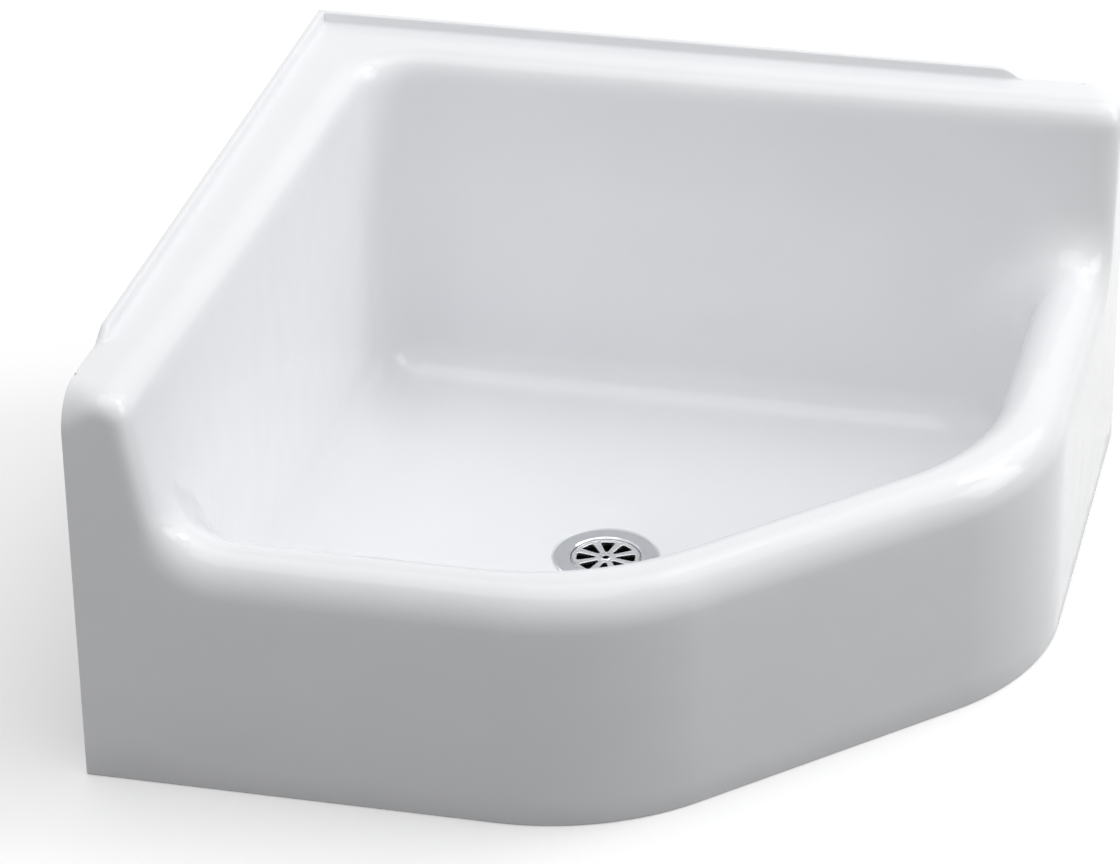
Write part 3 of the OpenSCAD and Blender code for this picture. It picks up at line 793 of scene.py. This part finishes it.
def foot():
    """The round foot under the back corner, with the small pin hole of its pattern."""
    rim = FOOT_R - FOOT_ROUND
    profile = rounded([(FOOT_CORE, 0), (rim, 0), (FOOT_R, FOOT_ROUND), (FOOT_R, FOOT_TOP - 14),
                       (FOOT_R + FOOT_FLARE, FOOT_TOP - 4), (FOOT_R + FOOT_FLARE, FOOT_TOP),
                       (FOOT_CORE, FOOT_TOP)], [0.8, 1, 1, 8, 1, 0.5, 0.5])
    return lathe(profile, FOOT_AT, 96)


def enamelled_casting():
    """The basin, its ledges, rim, apron and foot: one casting, glazed on its upper and outer sides."""
    parts = make_casting_net()
    net = np.concatenate(parts, 1)
    glaze = [np.full(part.shape[:2], cover) for part, cover in zip(parts, (1.0, 1.0, 0.0, 0.0, 0.0, 0.0))]
    glaze[2][:, :GLAZED_DRAIN_RINGS] = 1
    face_rings = len(BOTTOM) + FACE_RINGS
    kinds = [row[0] for row in half_stations()]
    kinds += kinds[-2:0:-1]
    on_wall = np.array(kinds) == WALL
    glaze[0][on_wall, :face_rings] = THIN
    glaze = np.concatenate(glaze, 1)
    foot_points, foot_faces = foot()
    faces = [tuple(f) for f in net_faces(*net.shape[:2])]
    faces += [tuple(f + net.shape[0] * net.shape[1]) for f in foot_faces]
    points = np.vstack([net.reshape(-1, 3), foot_points])
    piece = mesh_object("enamelled_casting", points, faces, enamel)
    piece.data.set_sharp_from_angle(angle=math.radians(CREASE))
    cover = piece.data.attributes.new("glaze", "FLOAT", "POINT")
    shares = np.concatenate([glaze.ravel(), np.zeros(len(foot_points))])
    cover.data.foreach_set("value", shares.astype(np.float32))
    return piece


dressed(enamelled_casting(), "sink", "sink_body")

# ---- Pieces: the drain fitting, from the flange down to the lock nut

STRAINER_R, STRAINER_T = 44.45, 3
UNDER_BEVEL_W, UNDER_BEVEL_H = 0.5, 0.8  # under the flange's rim
TOP_FALL_W, TOP_FALL_H = 1.6, 1  # over it
GASKET_T = 1
SHANK_R, SHANK_Z = 36.5, 0.6
CORE_R = SHANK_R - 0.7  # the shank between the ridges of its thread
BORE_R = 28.6
GRATE_R, GRATE_T = 29.3, 3
SEAT_R = GRATE_R + 0.4  # the grate's seat
RECESS_D, RECESS_W = 1.2, 1.4  # the grate lies this deep, within a bevel this wide
LIP_R, LIP_T = BORE_R - 3.2, 2.6  # the lip under the grate
FLANGE_Z = SEAT_H + GASKET_T
FLANGE_TOP = FLANGE_Z + STRAINER_T
GRATE_Z = FLANGE_TOP - RECESS_D - GRATE_T
PACK_T, PACK_R = 2.5, 50  # rubber gasket under the boss
SLIP_T, SLIP_R = 1, 48.5  # fibre friction ring
PACK_Z = BOSS_Z - PACK_T
SLIP_Z = PACK_Z - SLIP_T
NUT_SIDES = 8
NUT_R = 50  # over the corners
NUT_TURN_R = 49  # the corners are turned off to this
NUT_BEVEL_W, NUT_BEVEL_H = 2.5, 1.2
NUT_STEPS = 24  # to a side
NUT_CREASE = 30  # degrees from which an edge shades sharp
THREAD_GAP = 0.05

strainer_profile = rounded([
    (BORE_R, SHANK_Z), (CORE_R, SHANK_Z), (CORE_R, FLANGE_Z),
    (STRAINER_R - UNDER_BEVEL_W, FLANGE_Z), (STRAINER_R, FLANGE_Z + UNDER_BEVEL_H),
    (STRAINER_R, FLANGE_TOP - TOP_FALL_H), (STRAINER_R - TOP_FALL_W, FLANGE_TOP),
    (SEAT_R + RECESS_W, FLANGE_TOP), (SEAT_R, FLANGE_TOP - RECESS_D), (SEAT_R, GRATE_Z),
    (LIP_R, GRATE_Z), (LIP_R, GRATE_Z - LIP_T), (BORE_R, GRATE_Z - LIP_T)],
    [0.3, 0.5, 0.3, 0.2, 0.4, 0.6, 1.2, 0.3, 0.3, 0.2, 0.4, 0.4, 0.3])
dressed(mesh_object("strainer_flange", *lathe(strainer_profile), buffed_chrome),
        "sink", "strainer_body")

# The compound fills the gap between the flange and the enamel, and stands up in a small bead
SEAL_OUT = RECESS_R - 0.1
SEAL_TOP = FLANGE_TOP - 0.9
seal_profile = rounded([
    (HOLE_R + 0.2, SEAT_H), (SEAL_OUT, SEAT_H), (SEAL_OUT, SEAL_TOP), (STRAINER_R + 0.05, SEAL_TOP - 0.3),
    (STRAINER_R + 0.05, FLANGE_Z + 0.7), (STRAINER_R - 0.6, FLANGE_Z), (HOLE_R + 0.2, FLANGE_Z)],
    [0.2, 0.1, 0.3, 0.1, 0.1, 0.1, 0.2], 3)
dressed(mesh_object("flange_seal", *lathe(seal_profile), compound), "sink", "flange_gasket")


def washer(inner, outer, low, high, radii, n=5):
    """The profile of a flat ring."""
    return rounded([(inner, low), (outer, low), (outer, high), (inner, high)], radii, n)


pack_profile = washer(SHANK_R + 0.5, PACK_R, PACK_Z, BOSS_Z, [0.4, 0.9, 0.9, 0.4])
dressed(mesh_object("rubber_gasket", *lathe(pack_profile), rubber), "sink", "under_gasket")

slip_profile = washer(SHANK_R + 0.4, SLIP_R, SLIP_Z, PACK_Z, 0.15, 2)
dressed(mesh_object("fibre_ring", *lathe(slip_profile), fibre), "sink", "friction_ring")


def lock_nut():
    """An eight-sided ring: its corners turned off, its lower edge bevelled, its bore for the thread."""
    low, high = SHANK_Z, SLIP_Z
    profile = rounded([(SHANK_R + THREAD_GAP, low), (NUT_TURN_R - NUT_BEVEL_W, low),
                       (NUT_TURN_R, low + NUT_BEVEL_H), (NUT_TURN_R, high), (SHANK_R + THREAD_GAP, high)],
                      [0.4, 0.3, 0.3, 0.5, 0.4])
    points, faces = lathe(profile, DRAIN, NUT_STEPS * NUT_SIDES)
    offset = points[:, :2] - DRAIN
    around = np.arctan2(offset[:, 1], offset[:, 0]) % (2 * math.pi / NUT_SIDES)
    flat = NUT_R * math.cos(math.pi / NUT_SIDES) / np.cos(around - math.pi / NUT_SIDES)
    radius = np.hypot(*offset.T)
    points[:, :2] = DRAIN + offset * (np.minimum(radius, flat) / radius)[:, None]
    piece = mesh_object("lock_nut_turned", points, faces, brass)
    piece.data.set_sharp_from_angle(angle=math.radians(NUT_CREASE))
    return piece


dressed(lock_nut(), "sink", "lock_nut")

# ---- Pieces: the lift-out grate, one slot's sector copied round the drain

SLOTS = 8
SLOT_TURN = 8  # degrees to the first slot
SLOT_IN, SLOT_OUT = 10.2, 24.5  # middle of its inner rounding, and its outer end
SLOT_IN_R, SLOT_OUT_R = 1.6, 2.0
SLOT_HALF_W = 5.7
EYE_R = 2.9  # hole in the middle
RIM_EDGE, LOW_EDGE, EYE_EDGE = 0.6, 0.35, 0.5  # roundings
IN_STEPS, SIDE_STEPS, CORNER_STEPS, OUT_STEPS = 8, 6, 4, 6
ARC_STEPS = (OUT_STEPS + CORNER_STEPS) // 2  # from a slot's middle line to the sector's corner
RAY_STEPS = SIDE_STEPS + CORNER_STEPS // 2
FLAT_RINGS = (0.0, 0.45, 0.8, 1.0)  # from the sector's border to the slot's edge
EDGE_TURN = np.radians([0, 22.5, 45, 67.5, 90])


def slot_outline(grow):
    """A slot grown outwards, from the middle of its outer end and anticlockwise."""
    x, y = SLOT_OUT - SLOT_OUT_R, SLOT_HALF_W - SLOT_OUT_R
    lean = math.atan2(y, x - SLOT_IN) + math.acos((SLOT_IN_R - SLOT_OUT_R) / math.hypot(x - SLOT_IN, y))

    def arc(cx, cy, r, start, end, n):
        w = np.linspace(start, end, n + 1)
        return list(np.column_stack([cx + r * np.cos(w), cy + r * np.sin(w)]))

    def between(a, b, n):
        return [mix(a, b, k / n) for k in range(1, n)]

    upper = arc(x, y, SLOT_OUT_R + grow, 0, lean, CORNER_STEPS)
    inner = arc(SLOT_IN, 0, SLOT_IN_R + grow, lean, 2 * math.pi - lean, IN_STEPS)
    lower = arc(x, -y, SLOT_OUT_R + grow, -lean, 0, CORNER_STEPS)
    end = (upper[0] + lower[-1]) / 2
    half_end = OUT_STEPS // 2
    return np.array(
        [end] + between(end, upper[0], half_end) + upper + between(upper[-1], inner[0], SIDE_STEPS) +
        inner + between(inner[-1], lower[0], SIDE_STEPS) + lower + between(lower[-1], end, half_end))


def sector_border():
    """The sector's outline on the flats, one point for each point of the slot's."""
    turn = math.pi / SLOTS
    top_r, eye_r = GRATE_R - RIM_EDGE, EYE_R + EYE_EDGE
    polar = [(top_r, turn * k / ARC_STEPS) for k in range(ARC_STEPS)]
    polar += [(mix(top_r, eye_r, k / RAY_STEPS), turn) for k in range(RAY_STEPS)]
    polar += [(eye_r, mix(turn, -turn, k / IN_STEPS)) for k in range(IN_STEPS)]
    polar += [(mix(eye_r, top_r, k / RAY_STEPS), -turn) for k in range(RAY_STEPS)]
    polar += [(top_r, mix(-turn, 0, k / ARC_STEPS)) for k in range(ARC_STEPS)]
    return np.array([(r * math.cos(w), r * math.sin(w)) for r, w in polar])


def grate_sector():
    """One sector: flats and slot, and its share of the rounded rim and of the hole in the middle."""
    border = sector_border()
    n = len(border)
    rows = []
    for z, r, side in ((-GRATE_T / 2, LOW_EDGE, 1), (GRATE_T / 2, RIM_EDGE, -1)):
        level = [(mix(border, slot_outline(r), t), z) for t in FLAT_RINGS]
        level += [(slot_outline(r * (1 - math.sin(w))), z + side * r * (1 - math.cos(w)))
                  for w in EDGE_TURN[1:]]
        rows += level[::side]
    vertices = [(x, y, z) for outline, z in rows for x, y in outline]
    faces = [(i * n + k, i * n + (k + 1) % n, (i + 1) * n + (k + 1) % n, (i + 1) * n + k)
             for i in range(len(rows) - 1) for k in range(n)]
    radius = np.hypot(*border.T)
    rim = [(k - ARC_STEPS) % n for k in range(2 * ARC_STEPS + 1)]
    eye = [ARC_STEPS + RAY_STEPS + k for k in range(IN_STEPS + 1)]
    for picks, centre, r, sign in ((rim, GRATE_R, RIM_EDGE, 1), (eye, EYE_R, EYE_EDGE, -1)):
        profile = [(centre - sign * r * (1 - math.sin(w)), GRATE_T / 2 - r * (1 - math.cos(w)))
                   for w in EDGE_TURN]
        profile += [(centre - sign * r * (1 - math.cos(w)), r * (1 - math.sin(w)) - GRATE_T / 2)
                    for w in EDGE_TURN]
        base, m = len(vertices), len(picks)
        vertices += [(*(border[k] / radius[k] * pr), pz) for pr, pz in profile for k in picks]
        faces += [(a, a + m, a + m + 1, a + 1)
                  for a in (base + i * m + k for i in range(len(profile) - 1) for k in range(m - 1))]
    return mesh_object("grate_sector", vertices, faces, grate_chrome)


def geometry_tree(name, inputs):
    """A tree with a Geometry input and the named ones, and the sockets that give their values."""
    tree = bpy.data.node_groups.new(name, "GeometryNodeTree")
    tree.interface.new_socket("Geometry", in_out="INPUT", socket_type="NodeSocketGeometry")
    for label, kind in inputs.items():
        tree.interface.new_socket(label, in_out="INPUT", socket_type=kind)
    tree.interface.new_socket("Geometry", in_out="OUTPUT", socket_type="NodeSocketGeometry")
    return tree, tree.nodes.new("NodeGroupInput").outputs


def grown(name, source, tree, values):
    """The plain mesh that a tree makes of a source object."""
    modifier = source.modifiers.new("grow", "NODES")
    modifier.node_group = tree
    for item in tree.interface.items_tree:
        if item.in_out == "INPUT" and item.name in values:
            modifier[item.identifier] = values[item.name]
    bpy.context.view_layer.update()
    finished = source.evaluated_get(bpy.context.evaluated_depsgraph_get())
    mesh = bpy.data.meshes.new_from_object(finished)
    mesh.name = name
    bpy.data.objects.remove(source)
    mesh.shade_smooth()
    return new_object(name, mesh)


def round_tree():
    """Copies of a piece round an upright axis, welded where they touch."""
    tree, given = geometry_tree("copies_round_axis", {
        "Count": "NodeSocketInt", "First Angle": "NodeSocketFloat", "Centre": "NodeSocketVector",
        "Weld": "NodeSocketFloat", "Material": "NodeSocketMaterial"})
    points = add(tree, "GeometryNodePoints", {"Count": given["Count"], "Position": given["Centre"]})
    index = add(tree, "GeometryNodeInputIndex")
    share = add(tree, "ShaderNodeMath", {0: 2 * math.pi, 1: given["Count"]}, operation="DIVIDE")
    angle = add(tree, "ShaderNodeMath", {0: index, 1: share, 2: given["First Angle"]},
                operation="MULTIPLY_ADD")
    turn = add(tree, "ShaderNodeCombineXYZ", {"Z": angle})
    copies = add(tree, "GeometryNodeInstanceOnPoints", {
        "Points": points, "Instance": given["Geometry"], "Rotation": turn})
    real = add(tree, "GeometryNodeRealizeInstances", {0: copies})
    weld = add(tree, "GeometryNodeMergeByDistance", {0: real, "Distance": given["Weld"]})
    paint = add(tree, "GeometryNodeSetMaterial", {0: weld, "Material": given["Material"]})
    add(tree, "NodeGroupOutput", {0: paint})
    return tree


grate = grown("grate_plate", grate_sector(), round_tree(), {
    "Count": SLOTS, "First Angle": math.radians(SLOT_TURN), "Weld": 0.01 * MM, "Material": grate_chrome,
    "Centre": (DRAIN[0] * MM, DRAIN[1] * MM, (GRATE_Z + GRATE_T / 2) * MM)})
dressed(grate, "grate", "grate")

# ---- Pieces: the thread on the shank, a ridge wound round it

THREAD_PITCH = 25.4 / 11.5  # pipe thread, 11-1/2 turns to the inch
THREAD_DEEP = 0.9
THREAD_TURNS = 6
THREAD_Z = 1.8  # where it starts


def thread_tree():
    """A ridge of six-sided section along a helix, its foot sunk in the shank's core."""
    tree, given = geometry_tree("wound_ridge", {
        "Turns": "NodeSocketFloat", "Pitch": "NodeSocketFloat", "Radius": "NodeSocketFloat",
        "Ridge": "NodeSocketFloat", "Start": "NodeSocketVector", "Material": "NodeSocketMaterial"})
    height = add(tree, "ShaderNodeMath", {0: given["Turns"], 1: given["Pitch"]}, operation="MULTIPLY")
    helix = add(tree, "GeometryNodeCurveSpiral", {
        "Resolution": 64, "Rotations": given["Turns"], "Start Radius": given["Radius"],
        "End Radius": given["Radius"], "Height": height})
    section = add(tree, "GeometryNodeCurvePrimitiveCircle", {"Resolution": 6, "Radius": given["Ridge"]})
    ridge = add(tree, "GeometryNodeCurveToMesh", {0: helix, 1: section, "Fill Caps": True})
    placed = add(tree, "GeometryNodeTransform", {0: ridge, "Translation": given["Start"]})
    real = add(tree, "GeometryNodeRealizeInstances", {0: placed})
    paint = add(tree, "GeometryNodeSetMaterial", {0: real, "Material": given["Material"]})
    add(tree, "NodeGroupOutput", {0: paint})
    return tree


# The tree draws the whole ridge, and this only carries it
blank = mesh_object("thread_blank", [(0, 0, 0), (1, 0, 0), (0, 1, 0)], [(0, 1, 2)], buffed_chrome)
thread = grown("shank_thread", blank, thread_tree(), {
    "Turns": float(THREAD_TURNS), "Pitch": THREAD_PITCH * MM, "Radius": (SHANK_R - THREAD_DEEP / 2) * MM,
    "Ridge": THREAD_DEEP / 2 * MM, "Start": (*DRAIN * MM, THREAD_Z * MM), "Material": buffed_chrome})
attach(thread, "sink")

# ---- Floor, lamps and world

FLOOR_SIDE = 16.0  # metres
FLOOR_LIFT = 0.24
# The second colour is painted shade: the floor round the drain is near-black so the slots look dark
FLOOR_BOUNCE, FLOOR_PAINTED_SHADE = "#555555", "#141414"
UNDER_IN, UNDER_OUT = 0.06, 0.12  # metres from the drain over which the floor's painted shade gives way to white


def studio_floor():
    """White studio paper. A faint light of its own lifts it to the white of the backdrop, so that only
    the sink's shadow shows on it. There is none round the drain, where the paper's colour is painted
    near-black as painted shade under the sink, so that the slots stay dark. It gives the sink less light
    back than it shows the camera, which the shading of the sides asks for."""
    material, tree, place = new_material("studio_paper")
    offset = add(tree, "ShaderNodeVectorMath", {0: place, 1: (*DRAIN * MM, 0)}, operation="SUBTRACT")
    away = add(tree, "ShaderNodeVectorMath", {0: offset}, operation="LENGTH")
    # Mask of the floor outside the painted shade round the drain
    clear_of_painted_shade = add(tree, "ShaderNodeMapRange", {"Value": away.outputs["Value"], "From Min": UNDER_IN,
                                                  "From Max": UNDER_OUT}, interpolation_type="SMOOTHSTEP")
    rays = add(tree, "ShaderNodeLightPath")
    seen = add(tree, "ShaderNodeMath", {0: 1.0, 1: rays.outputs["Is Diffuse Ray"]}, operation="SUBTRACT")
    shown = add(tree, "ShaderNodeMath", {0: clear_of_painted_shade, 1: seen}, operation="MULTIPLY")
    lift = add(tree, "ShaderNodeMath", {0: shown, 1: FLOOR_LIFT}, operation="MULTIPLY")
    fibres = add(tree, "ShaderNodeTexNoise", {"Vector": place, "Scale": per_mm(3), "Detail": 3})
    white = add(tree, "ShaderNodeMixRGB", {0: fibres, 1: linear("#F3F3F3"), 2: linear("#F0F0F0")})
    given = add(tree, "ShaderNodeMixRGB", {0: seen, 1: linear(FLOOR_BOUNCE), 2: white})
    # Painted shade: near the drain the floor's colour goes near-black, standing in for the dark under the
    # sink
    dark = add(tree, "ShaderNodeMixRGB", {0: clear_of_painted_shade, 1: linear(FLOOR_PAINTED_SHADE), 2: given})
    surface(tree, {"Base Color": dark, "Roughness": 1.0, "Specular IOR Level": 0.0,
                   "Emission Color": (1, 1, 1, 1), "Emission Strength": lift})
    half = FLOOR_SIDE / 2 / MM
    corners = [(-half, -half, 0), (half, -half, 0), (half, half, 0), (-half, half, 0)]
    floor = mesh_object("studio_floor", corners, [(0, 1, 2, 3)], material)


studio_floor()


LAMPS_LOOK_AT = Vector((0, 0, 0.15))


def softbox(name, toward, distance, size, power):
    """A square lamp that looks at the sink from this side."""
    data = bpy.data.lights.new(name, "AREA")
    data.shape = "SQUARE"
    data.size = size
    data.energy = power
    lamp = new_object(name, data)
    toward = Vector(toward).normalized()
    lamp.location = toward * distance + LAMPS_LOOK_AT
    lamp.rotation_euler = toward.to_track_quat("Z", "Y").to_euler()


# The shading in the photo asks for a wide lamp to the right, behind and above, with a small bright one
# before it that makes the spots on the corners, and for weaker ones overhead and to the right
softbox("key_softbox", (0.6, 0.36, 0.71), 5.0, 4.5, 54)
softbox("sparkle_softbox", (0.576, 0.382, 0.723), 4.0, 1.0, 16)
softbox("top_softbox", (0, 0, 1), 4.0, 3.4, 35)
softbox("right_softbox", (1, 0.2, 0.5), 4.0, 2.0, 18)

ROOM_LIGHT = 0.58  # what the white room gives the sink from all sides
world = bpy.data.worlds.new("white_room")
bpy.context.scene.world = world
world.use_nodes = True
sky = world.node_tree
sky.nodes.clear()
# The camera, mirrors and glass see plain white
rays = add(sky, "ShaderNodeLightPath").outputs
seen = add(sky, "ShaderNodeMath", {0: rays["Is Camera Ray"], 1: rays["Is Glossy Ray"]}, operation="MAXIMUM")
clear = add(sky, "ShaderNodeMath", {0: seen, 1: rays["Is Transmission Ray"]}, operation="MAXIMUM")
level = add(sky, "ShaderNodeMapRange", {"Value": clear, "To Min": ROOM_LIGHT, "To Max": 1.0})
background = add(sky, "ShaderNodeBackground", {"Color": (1, 1, 1, 1), "Strength": level})
add(sky, "ShaderNodeOutputWorld", {"Surface": background})

bpy.context.scene.view_settings.view_transform = "Standard"
